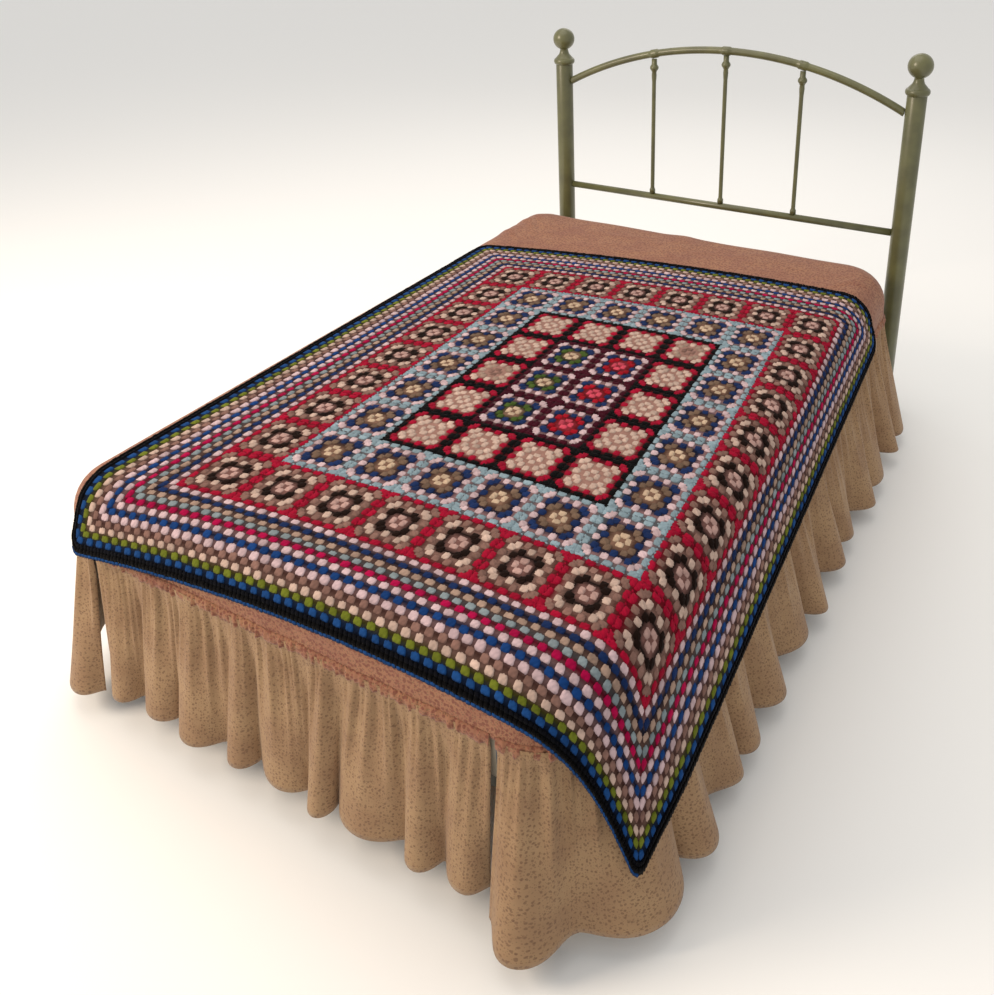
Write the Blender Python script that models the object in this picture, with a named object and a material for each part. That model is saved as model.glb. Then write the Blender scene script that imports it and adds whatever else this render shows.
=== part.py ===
"""Granny square blanket laid over a small double bed, with the covered mattress and the metal bedstead."""

from math import acos, asin, atan2, cos, hypot, pi, radians, sin, sqrt

import bmesh
import bpy
import numpy as np

for old in list(bpy.data.objects):
    bpy.data.objects.remove(old, do_unlink=True)

# ---- sizes, in metres; X runs across the bed, Y to the headboard, Z up -------------------------
SHIFT = (-0.0119, 0.0516)       # moves the whole bed so that the middle of its footprint is the origin

TOP = 0.530                     # top of the spread
HALF_W = 0.625                  # covered mattress, half its width
FOOT_Y, HEAD_Y = -1.012, 0.880  # its two ends
ROLL = 0.080                    # radius of the spread's soft top edge
CORNER = {"foot_right": 0.170, "foot_left": 0.105, "head_left": 0.110, "head_right": 0.130}
SPREAD_T = 0.003
SEAM_Z = 0.399                  # where the gathered frill is sewn on
LAY_GAP = 0.0030                # air between one cloth and the next

# the blanket: 8 columns and 9 rows of squares, 12 border rounds and a dark edging
COLUMNS, ROWS = 8, 9
PITCH_U, PITCH_V = 0.128, 0.142
ROUND = 0.0134
BORDER_ROUNDS = 12
EDGING = 0.016
BLANKET_T = 0.005
HALF_U = COLUMNS * PITCH_U / 2 + BORDER_ROUNDS * ROUND
HALF_V = ROWS * PITCH_V / 2 + BORDER_ROUNDS * ROUND
LAID = {"x": 0.1346, "foot": 0.2147, "turn": 3.23}       # where its middle lies, and how it is turned
# how soft crochet has pulled out of square, in metres for each square metre of its flat place
PULL = {"fan": 0.071, "slope": 0.054, "sag": 0.031, "bow": 0.123}
LEAN = {"right": 18.7, "left": 9.0, "foot": 26.0, "corner": 14.0, "left_corner": 26.5}  # degrees off plumb

# the bedstead
BED_X = 0.0389                  # the headboard's middle
POST_X, POST_Y, POST_R = 0.576, 0.961, 0.028
BALL_Z, BALL_R = 1.102, 0.0355
RAIL_R, RAIL_END_Z, RAIL_CREST_Z = 0.0115, 0.965, 1.103
LOWER_RAIL_Z, LOWER_RAIL_R = 0.600, 0.011
SPINDLES = (-0.243, 0.0, 0.243)
SPINDLE_R = 0.0065
FRAME_X, FRAME_Z = 0.560, (0.214, 0.254)
LEG_Y, LEG_R = -0.950, 0.019

scene = bpy.context.scene
collection = bpy.data.collections.new("granny_square_blanket_on_bed")
scene.collection.children.link(collection)


def material(name, colour, rough, metal=0.0):
    made = bpy.data.materials.new(name)
    made.use_nodes = True
    shader = made.node_tree.nodes["Principled BSDF"]
    shader.inputs["Base Color"].default_value = (*colour, 1)
    shader.inputs["Roughness"].default_value = rough
    shader.inputs["Metallic"].default_value = metal
    return made


WOOL = material("crochet_wool", (0.35, 0.10, 0.12), 0.95)
EDGE_WOOL = material("edging_wool", (0.01, 0.012, 0.03), 0.95)
PRINT = material("printed_cotton", (0.50, 0.27, 0.18), 0.85)
FRILL = material("frill_cotton", (0.55, 0.40, 0.25), 0.85)
PAINT = material("green_enamel", (0.16, 0.18, 0.10), 0.40)
TICKING = material("ticking", (0.62, 0.58, 0.50), 0.90)
TIMBER = material("plain_timber", (0.45, 0.30, 0.17), 0.70)


def add(name, verts, faces, mat, smooth=True):
    """One closed body from its points and faces, turned to face out."""
    mesh = bpy.data.meshes.new(name)
    moved = np.asarray(verts, float) + np.array([SHIFT[0], SHIFT[1], 0.0])
    mesh.from_pydata([tuple(p) for p in moved], [], [tuple(int(i) for i in f) for f in faces])
    work = bmesh.new()
    work.from_mesh(mesh)
    bmesh.ops.recalc_face_normals(work, faces=work.faces)
    work.to_mesh(mesh)
    work.free()
    for face in mesh.polygons:
        face.use_smooth = smooth
    mesh.materials.append(mat)
    made = bpy.data.objects.new(name, mesh)
    collection.objects.link(made)
    return made


def lathe(name, x, y, profile, mat, steps):
    """A turned piece: profile holds (radius, height) from bottom to top, its ends on the axis."""
    verts, rows, faces = [], [], []
    for radius, height in profile:
        if radius == 0:
            rows.append([len(verts)] * steps)
            verts.append((x, y, height))
            continue
        rows.append([len(verts) + i for i in range(steps)])
        for i in range(steps):
            turn = 2 * pi * i / steps
            verts.append((x + radius * cos(turn), y + radius * sin(turn), height))
    for low, high in zip(rows[:-1], rows[1:]):
        for i in range(steps):
            j = (i + 1) % steps
            ring = []
            for corner in (low[i], low[j], high[j], high[i]):
                if corner not in ring:
                    ring.append(corner)
            if len(ring) > 2:
                faces.append(ring)
    return add(name, verts, faces, mat)


def tube(name, centres, radii, mat, sides, flat_ends=False):
    """A round bar in the headboard's plane; flat_ends cuts its two ends upright, to meet the posts."""
    centres = np.asarray(centres, float)
    verts, faces = [], []
    count = len(centres)
    for i, (centre, radius) in enumerate(zip(centres, radii)):
        along = centres[min(i + 1, count - 1)] - centres[max(i - 1, 0)]
        along /= np.linalg.norm(along)
        side = np.array([0.0, 1.0, 0.0])
        up = np.cross(along, side)
        if flat_ends and i in (0, count - 1):
            up = np.array([0.0, 0.0, 1 / max(abs(up[2]), 0.3)])
            up *= 1 if np.cross(along, side)[2] > 0 else -1
        for k in range(sides):
            turn = 2 * pi * k / sides
            verts.append(centre + radius * (cos(turn) * side + sin(turn) * up))
    for i in range(count - 1):
        for k in range(sides):
            j = (k + 1) % sides
            faces.append((i * sides + k, i * sides + j, (i + 1) * sides + j, (i + 1) * sides + k))
    faces.append(tuple(range(sides)))
    faces.append(tuple((count - 1) * sides + k for k in range(sides)))
    return add(name, verts, faces, mat)


def block(name, low, high, mat):
    xs, ys, zs = zip(low, high)
    verts = [(x, y, z) for z in zs for y in ys for x in xs]
    faces = [(0, 1, 3, 2), (4, 5, 7, 6), (0, 1, 5, 4), (2, 3, 7, 6), (0, 2, 6, 4), (1, 3, 7, 5)]
    return add(name, verts, faces, mat, smooth=False)


# ---- sheets ------------------------------------------------------------------------------------
def normals_of(grid):
    """Unit normals of a grid of points, to the side that faces away from the bed."""
    along_u = np.gradient(grid, axis=1)
    along_v = np.gradient(grid, axis=0)
    normal = np.cross(along_u, along_v)
    return normal / np.linalg.norm(normal, axis=2, keepdims=True)


def thick_sheet(name, inner, outer, mat):
    """One closed solid between two grids of points."""
    rows, cols = inner.shape[:2]
    verts = np.concatenate([inner.reshape(-1, 3), outer.reshape(-1, 3)])
    top = rows * cols
    faces = []
    for i in range(rows - 1):
        for j in range(cols - 1):
            a, b = i * cols + j, i * cols + j + 1
            c, d = b + cols, a + cols
            faces.append((a, b, c, d))
            faces.append((top + a, top + d, top + c, top + b))
    rim = [(0, j) for j in range(cols)] + [(i, cols - 1) for i in range(1, rows)]
    rim += [(rows - 1, j) for j in range(cols - 2, -1, -1)] + [(i, 0) for i in range(rows - 2, 0, -1)]
    ids = [i * cols + j for i, j in rim]
    for a, b in zip(ids, ids[1:] + ids[:1]):
        faces.append((a, top + a, top + b, b))
    return add(name, verts, faces, mat)


def roll_over(run, radius, turn):
    """How far out and how far down a cloth is, this far past the start of a rounded edge."""
    bent = np.clip(run / radius, 0, turn)
    rest = np.maximum(run - radius * turn, 0)
    return radius * np.sin(bent) + rest * np.cos(turn), radius * (1 - np.cos(bent)) + rest * np.sin(turn)


def laid(u, v, off):
    """The blanket's flat point (u to the right, v to the foot) where it lies, off above the spread."""
    u, v = np.broadcast_arrays(np.asarray(u, float), np.asarray(v, float))
    turn = radians(LAID["turn"])
    p = LAID["x"] + u * cos(turn) + v * sin(turn) + PULL["fan"] * u * v
    q = LAID["foot"] - u * sin(turn) + v * cos(turn)
    q = q + PULL["slope"] * u * v + PULL["sag"] * v * v + PULL["bow"] * u * u
    right = p > 0
    corner = np.where(right, CORNER["foot_right"], CORNER["foot_left"])
    side_c, foot_c = HALF_W - corner, -FOOT_Y - corner
    past_side, past_foot = np.abs(p) - side_c, q - foot_c
    at_corner = (past_side > 0) & (past_foot > 0)
    reach = np.where(at_corner, np.hypot(past_side, past_foot), np.maximum(past_side, past_foot))
    way = np.where(at_corner, np.arctan2(past_foot, np.maximum(past_side, 1e-9)),
                   np.where(past_foot > past_side, pi / 2, 0.0))
    share = 2 * way / pi
    side_lean = np.where(right, LEAN["right"], LEAN["left"])
    corner_lean = np.where(right, LEAN["corner"], LEAN["left_corner"])
    lean = side_lean * (1 - share) + LEAN["foot"] * share
    lean = np.radians(lean + (corner_lean - lean) * np.sin(2 * way))
    run = np.maximum(reach - (corner - ROLL), 0)
    out, down = roll_over(run, ROLL + off, pi / 2 - lean)
    spread_to = np.minimum(reach, corner - ROLL) + out
    sign = np.where(right, 1.0, -1.0)
    over = run > 0
    x = np.where(at_corner, sign * (side_c + spread_to * np.cos(way)),
                 np.where(over & (past_side >= past_foot), sign * (side_c + spread_to), p))
    foot = np.where(at_corner, foot_c + spread_to * np.sin(way),
                    np.where(over & (past_foot > past_side), foot_c + spread_to, q))
    return np.stack([x, -foot, TOP + off - down], -1)


def steps(*spans):
    """Grid lines from (start, end, count) spans that share their ends."""
    lines = [np.linspace(a, b, n + 1)[:-1] for a, b, n in spans]
    return np.append(np.concatenate(lines), spans[-1][1])


U_LINES = steps((-HALF_U, -0.540, 7), (-0.540, 0.270, 6), (0.270, 0.580, 15), (0.580, HALF_U, 4))
V_LINES = steps((-HALF_V, 0.500, 10), (0.500, 0.620, 3), (0.620, HALF_V, 9))


def blanket():
    u, v = np.meshgrid(U_LINES, V_LINES)
    inner = laid(u, v, LAY_GAP)
    outer = laid(u, v, LAY_GAP + BLANKET_T)
    return thick_sheet("blanket", inner, outer, WOOL)


def blanket_edging():
    """The dark crocheted band all round, a closed ring just outside the last round."""
    inner_u, inner_v = HALF_U + 0.0010, HALF_V + 0.0010
    outer_u, outer_v = HALF_U + EDGING, HALF_V + EDGING
    loop = []
    for j, u in enumerate(U_LINES[:-1]):
        loop.append((u / HALF_U, -1.0))
    for v in V_LINES[:-1]:
        loop.append((1.0, v / HALF_V))
    for u in U_LINES[:0:-1]:
        loop.append((u / HALF_U, 1.0))
    for v in V_LINES[:0:-1]:
        loop.append((-1.0, v / HALF_V))
    loop = np.array(loop)
    low, high = LAY_GAP - 0.0005, LAY_GAP + BLANKET_T + 0.0010
    mid = (low + high) / 2
    section = ((0.0, low), (0.85, low), (1.0, mid), (0.85, high), (0.0, high))
    count, sides = len(loop), len(section)
    verts = np.zeros((count, sides, 3))
    for k, (share, off) in enumerate(section):
        wide_u = inner_u + (outer_u - inner_u) * share
        wide_v = inner_v + (outer_v - inner_v) * share
        verts[:, k] = laid(loop[:, 0] * wide_u, loop[:, 1] * wide_v, off)
    faces = []
    for i in range(count):
        for k in range(sides):
            a, b = (i + 1) % count, (k + 1) % sides
            faces.append((i * sides + k, a * sides + k, a * sides + b, i * sides + b))
    return add("blanket_edging", verts.reshape(-1, 3), faces, EDGE_WOOL)


# ---- the covered mattress ------------------------------------------------------------------------
SIDE_CUTS, END_CUTS, CORNER_CUTS = 13, 8, 5


def outline(inset):
    """Points round the bed's rounded outline, inset inwards, from its right side on by way of the foot."""
    corners = (("foot_right", 1, FOOT_Y, 0.0), ("foot_left", -1, FOOT_Y, -pi / 2),
               ("head_left", -1, HEAD_Y, -pi), ("head_right", 1, HEAD_Y, -1.5 * pi))
    arcs = []
    for name, side, end, start in corners:
        radius = CORNER[name]
        middle = (side * (HALF_W - radius), end + radius * (1 if end < 0 else -1))
        sweep = [start - pi / 2 * k / CORNER_CUTS for k in range(CORNER_CUTS + 1)]
        small = radius - inset
        arcs.append([(middle[0] + small * cos(a), middle[1] + small * sin(a)) for a in sweep])
    points = []
    for arc, after, cuts in zip(arcs, arcs[1:] + arcs[:1], (END_CUTS, SIDE_CUTS, END_CUTS, SIDE_CUTS)):
        points += arc
        (x0, y0), (x1, y1) = arc[-1], after[0]
        points += [(x0 + (x1 - x0) * k / cuts, y0 + (y1 - y0) * k / cuts) for k in range(1, cuts)]
    return np.array(points)


def shell_rings(inset, top, roll, low, bends, sides=(1.0,)):
    """Rings of a soft-edged cap: up its side, over the edge and in to the middle of its top."""
    rings = []
    for share in (0.0,) + tuple(sides):
        height = low + (top - roll - low) * share
        rings.append(np.column_stack([outline(inset), np.full(len(outline(inset)), height)]))
    for k in range(1, bends + 1):
        turn = pi / 2 * k / bends
        plan = outline(inset + roll * (1 - cos(turn)))
        rings.append(np.column_stack([plan, np.full(len(plan), top - roll + roll * sin(turn))]))
    edge = rings[-1]
    middle = np.array([0.0, (FOOT_Y + HEAD_Y) / 2, top])
    for share in (0.82, 0.45):
        rings.append(middle + (edge - middle) * share)
    return rings, middle


def join_rings(rings, first):
    """Faces between rings of points that are stored one after another from index first."""
    count = len(rings[0])
    return [(first + i * count + k, first + i * count + (k + 1) % count,
             first + (i + 1) * count + (k + 1) % count, first + (i + 1) * count + k)
            for i in range(len(rings) - 1) for k in range(count)]


def cap(name, mat):
    """The spread: a fitted cover, open below, of one thickness."""
    outer, outer_mid = shell_rings(0.0, TOP, ROLL, SEAM_Z, 5)
    inner, inner_mid = shell_rings(SPREAD_T, TOP - SPREAD_T, ROLL - SPREAD_T, SEAM_Z, 5)
    count = len(outer[0])
    size = count * len(outer)
    verts = np.concatenate(outer + inner + [outer_mid[None], inner_mid[None]])
    faces = join_rings(outer, 0) + join_rings(inner, size)
    for k in range(count):
        j = (k + 1) % count
        faces.append((size - count + k, size - count + j, 2 * size))
        faces.append((2 * size - count + k, 2 * size - count + j, 2 * size + 1))
        faces.append((k, j, size + j, size + k))
    return add(name, verts, faces, mat)


def mattress():
    inset = SPREAD_T + 0.0022
    low = 0.288
    rings, middle = shell_rings(inset, TOP - inset, ROLL - inset, low + 0.025, 4)
    bottom_roll = 0.025
    for turn in (pi / 4, pi / 2):
        plan = outline(inset + bottom_roll * (1 - cos(turn)))
        height = low + bottom_roll * (1 - sin(turn))
        rings.insert(0, np.column_stack([plan, np.full(len(plan), height)]))
    count = len(rings[0])
    verts = np.concatenate(rings + [middle[None], [[0.0, middle[1], low]]])
    size = count * len(rings)
    faces = join_rings(rings, 0)
    for k in range(count):
        j = (k + 1) % count
        faces.append((size - count + k, size - count + j, size))
        faces.append((k, j, size + 1))
    return add("mattress", verts, faces, TICKING)


# ---- the gathered frill, in three lengths with a split beside each foot corner -------------------
HEAD_WRAP = radians(36)         # how far each side length turns round its head corner


def path_points(kind):
    """A function giving place and outward way at a distance along a frill's seam, and the seam's length."""
    right, left = CORNER["foot_right"], CORNER["foot_left"]
    if kind == "foot":
        start, end = HALF_W - right - 0.012, -(HALF_W - left) + 0.012
        return (lambda s: ((start - s, FOOT_Y), (0.0, -1.0))), start - end
    side, foot_r = (1, right) if kind == "right" else (-1, left)
    head_r = CORNER["head_" + kind]
    head_arc, foot_arc = head_r * HEAD_WRAP, foot_r * pi / 2
    straight = HEAD_Y - head_r - FOOT_Y - foot_r

    def at(s):
        if s < head_arc:
            turn, radius, y = HEAD_WRAP - s / head_r, head_r, HEAD_Y - head_r
        elif s < head_arc + straight:
            return (side * HALF_W, HEAD_Y - head_r - (s - head_arc)), (side, 0.0)
        else:
            turn, radius, y = -min((s - head_arc - straight) / foot_r, pi / 2), foot_r, FOOT_Y + foot_r
        way = (side * cos(turn), sin(turn))
        return (side * (HALF_W - radius) + radius * way[0], y + radius * way[1]), way

    return at, head_arc + straight + foot_arc


FOLD_WIDTHS = (1.00, 0.82, 1.18, 0.92, 1.10, 0.76, 1.22, 0.95, 1.06, 0.86)  # uneven gathers, repeated
FOLD_DEPTHS = (0.85, 1.05, 0.95, 1.12, 0.80, 1.00, 1.15, 0.88, 1.04, 0.92)
FRILLS = (
    # node, folds, hem height, lean at the hem, fold depth at the hem, cuts in a fold
    ("right", 14, 0.050, 0.050, 0.052, 6),
    ("foot", 9, 0.085, 0.024, 0.038, 6),
    ("left", 14, 0.060, 0.040, 0.040, 6),
)
FRILL_T = 0.0015


def frill(kind, folds, hem, lean, depth, cuts):
    at, length = path_points(kind)
    widths = np.array([FOLD_WIDTHS[i % 10] for i in range(folds)])
    edges = np.concatenate([[0], np.cumsum(widths)]) / widths.sum() * length
    stations, waves = [], []
    for i in range(folds):
        for k in range(cuts):
            share = k / cuts
            stations.append(edges[i] + share * (edges[i + 1] - edges[i]))
            waves.append(FOLD_DEPTHS[i % 10] * (0.5 - 0.5 * cos(2 * pi * share)))
    stations.append(length)
    waves.append(0.0)
    drops = (0.0, 0.12, 0.45, 1.0)
    top = SEAM_Z - 0.003
    grid = np.zeros((len(drops), len(stations), 3))
    for row, drop in enumerate(drops):
        for col, (s, wave) in enumerate(zip(stations, waves)):
            (x, y), (nx, ny) = at(s)
            out = 0.0035 + lean * drop + wave * (0.003 + (depth - 0.003) * drop ** 0.8)
            grid[row, col] = (x + nx * out, y + ny * out, top - (top - hem) * drop)
    normal = normals_of(grid)
    return thick_sheet("frill_" + kind, grid - normal * FRILL_T / 2, grid + normal * FRILL_T / 2, FRILL)


# ---- the bedstead --------------------------------------------------------------------------------
def post(name, side):
    neck = 0.014
    start = asin(neck / BALL_R)
    low = BALL_Z - BALL_R * cos(start)
    collar = ((POST_R, 0.050), (0.0325, 0.045), (0.0345, 0.038), (0.0325, 0.030), (0.026, 0.024),
              (0.018, 0.012))
    profile = [(0, 0.0), (POST_R - 0.002, 0.0), (POST_R, 0.002)] + [(r, low - under) for r, under in collar]
    for k in range(10):
        turn = start + (pi - start) * k / 9
        profile.append((BALL_R * sin(turn) if k < 9 else 0, BALL_Z - BALL_R * cos(turn)))
    return lathe(name, BED_X + side * POST_X, POST_Y, profile, PAINT, 24)


ARCH_HALF = POST_X - POST_R - 0.0004
ARCH_RISE = RAIL_CREST_Z - RAIL_END_Z
ARCH_R = (ARCH_HALF ** 2 + ARCH_RISE ** 2) / (2 * ARCH_RISE)


def arch_z(x):
    return RAIL_CREST_Z - ARCH_R + sqrt(ARCH_R ** 2 - x ** 2)


def arch_rail():
    """The bent top rail, swollen into a short sleeve over each spindle."""
    stations = set(np.linspace(-ARCH_HALF, ARCH_HALF, 23))
    sleeves = {}
    for x in SPINDLES:
        for step, swell in ((-0.0135, 0.0), (-0.0115, 0.0025), (0.0115, 0.0025), (0.0135, 0.0)):
            sleeves[x + step] = swell
    near = [s for s in stations if min(abs(s - x) for x in SPINDLES) > 0.018]
    xs = sorted(near + list(sleeves))
    centres = [(BED_X + x, POST_Y, arch_z(x)) for x in xs]
    return tube("arch_rail", centres, [RAIL_R + sleeves.get(x, 0.0) for x in xs], PAINT, 12, flat_ends=True)


def spindle(index, x):
    slope = asin(abs(x) / ARCH_R)
    top = arch_z(x) - (RAIL_R + 0.0025) / cos(slope) - 0.009 * sin(slope) - 0.0005
    low = LOWER_RAIL_Z + LOWER_RAIL_R + 0.0004
    bead = top - 0.028
    r = SPINDLE_R
    profile = [(0, low), (r + 0.003, low), (r + 0.003, low + 0.012), (r, low + 0.018), (r, bead - 0.040),
               (r + 0.0015, bead - 0.022), (r + 0.0010, bead - 0.013), (0.0125, bead - 0.006),
               (0.0140, bead), (0.0125, bead + 0.007), (0.0090, bead + 0.012), (0.0085, top), (0, top)]
    return lathe(f"spindle_{index + 1}", BED_X + x, POST_Y, profile, PAINT, 14)


def bedstead():
    post("post_left", -1)
    post("post_right", 1)
    arch_rail()
    half = POST_X - POST_R - 0.0004
    for name, z, radius in (("lower_rail", LOWER_RAIL_Z, LOWER_RAIL_R), ("head_cross_rail", 0.234, 0.014)):
        ends = [(BED_X - half, POST_Y, z), (BED_X + half, POST_Y, z)]
        tube(name, ends, [radius] * 2, PAINT, 12)
    for index, x in enumerate(SPINDLES):
        spindle(index, x)
    low, high = FRAME_Z
    for name, side in (("side_rail_left", -1), ("side_rail_right", 1)):
        x = side * FRAME_X
        block(name, (x - 0.012, FOOT_Y + 0.045, low), (x + 0.012, POST_Y - POST_R - 0.0006, high), PAINT)
        leg = [(0, 0.0), (LEG_R - 0.002, 0.0), (LEG_R, 0.002), (LEG_R, low - 0.0004), (0, low - 0.0004)]
        lathe(name.replace("side_rail", "foot_leg"), x, LEG_Y, leg, PAINT, 16)
    inner = FRAME_X - 0.0125
    block("foot_rail", (-inner, LEG_Y - 0.012, low), (inner, LEG_Y + 0.012, high), PAINT)
    block("bed_deck", (-0.585, FOOT_Y + 0.040, high + 0.0005), (0.585, HEAD_Y - 0.010, 0.2870), TIMBER)


mattress()
cap("spread", PRINT)
for row in FRILLS:
    frill(*row)
blanket()
blanket_edging()
bedstead()

lows = np.full(3, 9.0)
highs = np.full(3, -9.0)
for made in collection.objects:
    points = np.array([v.co[:] for v in made.data.vertices])
    lows, highs = np.minimum(lows, points.min(0)), np.maximum(highs, points.max(0))
print("footprint middle", np.round((lows + highs)[:2] / 2, 5), "size", np.round(highs - lows, 4))
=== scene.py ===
# %% [markdown]
# # A granny square blanket on a bed
#
# The blanket is crochet: 72 squares of five rounds, twelve rounds round all of them and a dark edging.
# It lies over a printed spread with a gathered frill, on a bed with a green enamelled headboard.
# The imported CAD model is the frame. Every piece takes its place from the frame's boxes.

# %% Load the frame
from math import asin, atan, cos, dist, pi, radians, sin, sqrt

import bmesh
import bpy
import numpy as np
from mathutils import Matrix, Vector


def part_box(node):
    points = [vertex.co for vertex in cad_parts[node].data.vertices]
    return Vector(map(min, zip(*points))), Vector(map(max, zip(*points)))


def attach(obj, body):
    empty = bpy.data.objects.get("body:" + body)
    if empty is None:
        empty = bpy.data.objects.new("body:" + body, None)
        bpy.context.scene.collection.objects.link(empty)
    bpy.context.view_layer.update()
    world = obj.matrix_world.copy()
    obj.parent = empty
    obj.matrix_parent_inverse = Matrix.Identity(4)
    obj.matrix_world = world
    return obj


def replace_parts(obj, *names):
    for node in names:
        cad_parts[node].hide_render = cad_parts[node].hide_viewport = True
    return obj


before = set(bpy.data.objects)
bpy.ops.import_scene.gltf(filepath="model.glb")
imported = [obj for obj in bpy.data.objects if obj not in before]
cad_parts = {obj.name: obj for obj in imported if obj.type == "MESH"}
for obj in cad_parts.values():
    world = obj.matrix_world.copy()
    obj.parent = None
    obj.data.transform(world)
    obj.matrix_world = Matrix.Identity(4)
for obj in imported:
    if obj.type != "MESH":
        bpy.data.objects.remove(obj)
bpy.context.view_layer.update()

spread_low, spread_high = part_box("spread")
MIDDLE_X = (spread_low.x + spread_high.x) / 2
HALF_W = (spread_high.x - spread_low.x) / 2
FOOT_Y, HEAD_Y = spread_low.y, spread_high.y
TOP, SEAM_Z = spread_high.z, spread_low.z
BED_MIDDLE = np.array([MIDDLE_X, (FOOT_Y + HEAD_Y) / 2])
print("bed", round(2 * HALF_W, 3), "by", round(HEAD_Y - FOOT_Y, 3), "top at", round(TOP, 3))

# %% [markdown]
# The camera and the light come first, so that each piece can be looked at as soon as it is made.
# The camera stands beyond the foot of the bed, to its right, at the eye height of someone standing. The lens
# is a moderately wide one, and its shift moves the bed to the right and up in the frame.

# %% Camera
EYE = Vector((1.1117, -1.8710, 1.6539))
HEADING, PITCH, TILT = 30.0, -22.94, -1.2      # degrees: left of the bed's length, down, and about the view
SENSOR_MM, LENS_MM = 36, 35.54
SHIFT = (-0.0712, -0.2240)                     # in frame widths
camera_data = bpy.data.cameras.new("camera")
camera_data.sensor_fit = "HORIZONTAL"
camera_data.sensor_width = SENSOR_MM
camera_data.lens = LENS_MM
camera_data.shift_x, camera_data.shift_y = SHIFT
camera = bpy.data.objects.new("camera", camera_data)
bpy.context.scene.collection.objects.link(camera)
turn = Matrix.Rotation(radians(HEADING), 4, "Z") @ Matrix.Rotation(radians(90 + PITCH), 4, "X")
camera.matrix_world = Matrix.Translation(EYE) @ turn @ Matrix.Rotation(radians(TILT), 4, "Z")
bpy.context.scene.camera = camera
bpy.context.scene.view_settings.view_transform = "Standard"
print("camera at", tuple(round(c, 2) for c in EYE))


# %% [markdown]
# A few helpers serve every material. Colours are written in sRGB hex, and one function turns them linear.
# Another adds a node with its settings and its links. The rest are the nodes that most finishes need: noise
# of a size in millimetres, a range stretched to another, a mix of two colours and a bump.

# %% Helpers for materials
def linear(code):
    """An sRGB hex colour as linear red, green, blue and alpha."""
    parts = [int(code[i:i + 2], 16) / 255 for i in (0, 2, 4)]
    return tuple(c / 12.92 if c <= 0.04045 else ((c + 0.055) / 1.055) ** 2.4 for c in parts) + (1.0,)


def add(tree, kind, inputs=None, **settings):
    """A new node, with its settings, and its inputs set to values or linked to other nodes' outputs."""
    made = tree.nodes.new(kind)
    for name, value in settings.items():
        setattr(made, name, value)
    for name, value in (inputs or {}).items():
        if isinstance(value, bpy.types.NodeSocket):
            tree.links.new(value, made.inputs[name])
        else:
            made.inputs[name].default_value = value
    return made


def noise(tree, at, size_mm, detail=2.0):
    """Noise with features of this size, on coordinates in metres."""
    made = add(tree, "ShaderNodeTexNoise", {"Vector": at, "Scale": 1000 / size_mm, "Detail": detail})
    return made.outputs["Fac"]


def stretched(tree, value, start, end, low=0.0, high=1.0):
    """The value's range from start to end, stretched to low to high."""
    limits = {"From Min": start, "From Max": end, "To Min": low, "To Max": high}
    return add(tree, "ShaderNodeMapRange", {"Value": value, **limits}).outputs["Result"]


def mixed(tree, share, first, second):
    """Two colours, mixed by this share of the second."""
    made = add(tree, "ShaderNodeMix", {"Factor": share, "A": first, "B": second}, data_type="RGBA")
    return made.outputs["Result"]


def new_material(name, colour, rough, **sockets):
    """A material and its shader. Values that are the same all over are set on the shader's own sockets."""
    made = bpy.data.materials.new(name)
    made.use_nodes = True
    shader = made.node_tree.nodes["Principled BSDF"]
    shader.inputs["Base Color"].default_value = colour
    shader.inputs["Roughness"].default_value = rough
    for socket, value in sockets.items():
        shader.inputs[socket.replace("_", " ")].default_value = value
    return made, made.node_tree, shader


def bump(tree, shader, height, distance, strength=1.0, under=None):
    """A bump, laid over another one where there is one."""
    made = add(tree, "ShaderNodeBump", {"Height": height, "Distance": distance, "Strength": strength})
    if under:
        tree.links.new(under.outputs["Normal"], made.inputs["Normal"])
    tree.links.new(made.outputs["Normal"], shader.inputs["Normal"])
    return made


print("white is", linear("ffffff")[:3])

# %% [markdown]
# A plain pale floor and soft studio light: a warm panel at the foot's left, a broad one overhead, a weak one
# behind, and a pale surround that fills the shadows. The bed's right side is left in soft shade.

# %% Floor and lights
floor_mesh = bpy.data.meshes.new("floor")
work = bmesh.new()
bmesh.ops.create_grid(work, x_segments=1, y_segments=1, size=30)
work.to_mesh(floor_mesh)
work.free()
floor = bpy.data.objects.new("floor", floor_mesh)
bpy.context.scene.collection.objects.link(floor)
floor_paint, _, _ = new_material("pale_floor", linear("f7f7f6"), 0.8)
floor_mesh.materials.append(floor_paint)

for name, place, size, power, tint in (
    ("key_panel", (-2.7, -2.7, 2.7), 1.5, 118, "ffebd4"),
    ("overhead_panel", (-0.6, 0.2, 3.8), 3.2, 42, "fff6ea"),
    ("back_panel", (-1.0, 3.6, 2.8), 2.0, 14, "fff8ee"),
):
    panel = bpy.data.lights.new(name, "AREA")
    panel.size, panel.energy, panel.color = size, power, linear(tint)[:3]
    lamp = bpy.data.objects.new(name, panel)
    lamp.location = place
    lamp.rotation_euler = (Vector((0, 0, 0.5)) - Vector(place)).to_track_quat("-Z", "Y").to_euler()
    bpy.context.scene.collection.objects.link(lamp)

surround = bpy.data.worlds.new("surround")
surround.use_nodes = True
surround.node_tree.nodes["Background"].inputs["Color"].default_value = linear("fffdfa")
surround.node_tree.nodes["Background"].inputs["Strength"].default_value = 0.74
bpy.context.scene.world = surround


# %% [markdown]
# Soft sheets are made the same way each time. A bmesh grid gives the faces, and a function puts each of its
# points where the cloth lies. The grid's own place on the flat cloth becomes the UV map, in metres, so that a
# print follows the cloth round its folds.

# %% Helpers for meshes
def finish_piece(piece, material, smooth=True):
    """Gives a new piece its finish, smooth or flat faces, and its body."""
    piece.data.materials.clear()
    piece.data.materials.append(material)
    for face in piece.data.polygons:
        face.use_smooth = smooth
    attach(piece, "root")
    print(piece.name, len(piece.data.polygons), "faces")
    return piece


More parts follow.
